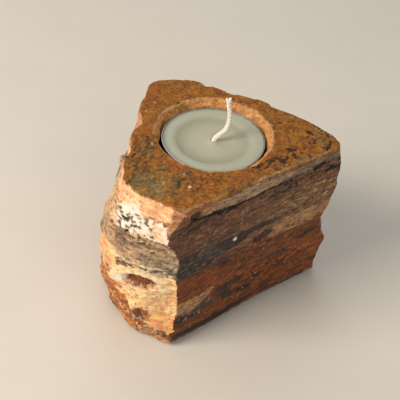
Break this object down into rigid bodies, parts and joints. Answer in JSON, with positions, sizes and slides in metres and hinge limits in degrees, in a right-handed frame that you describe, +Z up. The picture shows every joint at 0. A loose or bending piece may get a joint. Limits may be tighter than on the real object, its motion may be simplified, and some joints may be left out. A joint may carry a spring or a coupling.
{
  "type": "stone tealight holder",
  "caption": "Block of banded stone, sawn on top, base and front and broken elsewhere, with a drilled recess holding a tealight that lifts out.",
  "frame": {"origin": "middle of the overall box, on the surface that the felt pads stand on", "axes": "+Z up; +X along the sawn front face, towards its right end; -Y out of the sawn front face"},
  "size_m": [0.0926, 0.0724, 0.0832],
  "materials": {
    "banded_stone": "sawn and broken, unpolished",
    "felt": "pressed felt",
    "drawn_aluminium": "bright drawn foil",
    "candle_wax": "set wax, satin",
    "tinplate": "stamped tinplate",
    "braided_cotton": "unburnt braid"
  },
  "bodies": {
    "stone": {"stone_block": "banded_stone", "felt_pad_front_right": "felt", "felt_pad_back": "felt", "felt_pad_back_left": "felt", "felt_pad_front_left": "felt"},
    "cup": {"tealight_cup": "drawn_aluminium"},
    "candle": {"wax_puck": "candle_wax", "wick_sustainer": "tinplate", "wick": "braided_cotton"}
  },
  "joints": [
    {"name": "tealight_lift", "type": "slide", "parent": "stone", "child": "cup", "axis": [0, 0, 1], "range_m": [0, 0.04]},
    {"name": "candle_lift", "type": "slide", "parent": "cup", "child": "candle", "axis": [0, 0, 1], "range_m": [0, 0.03]}
  ]
}
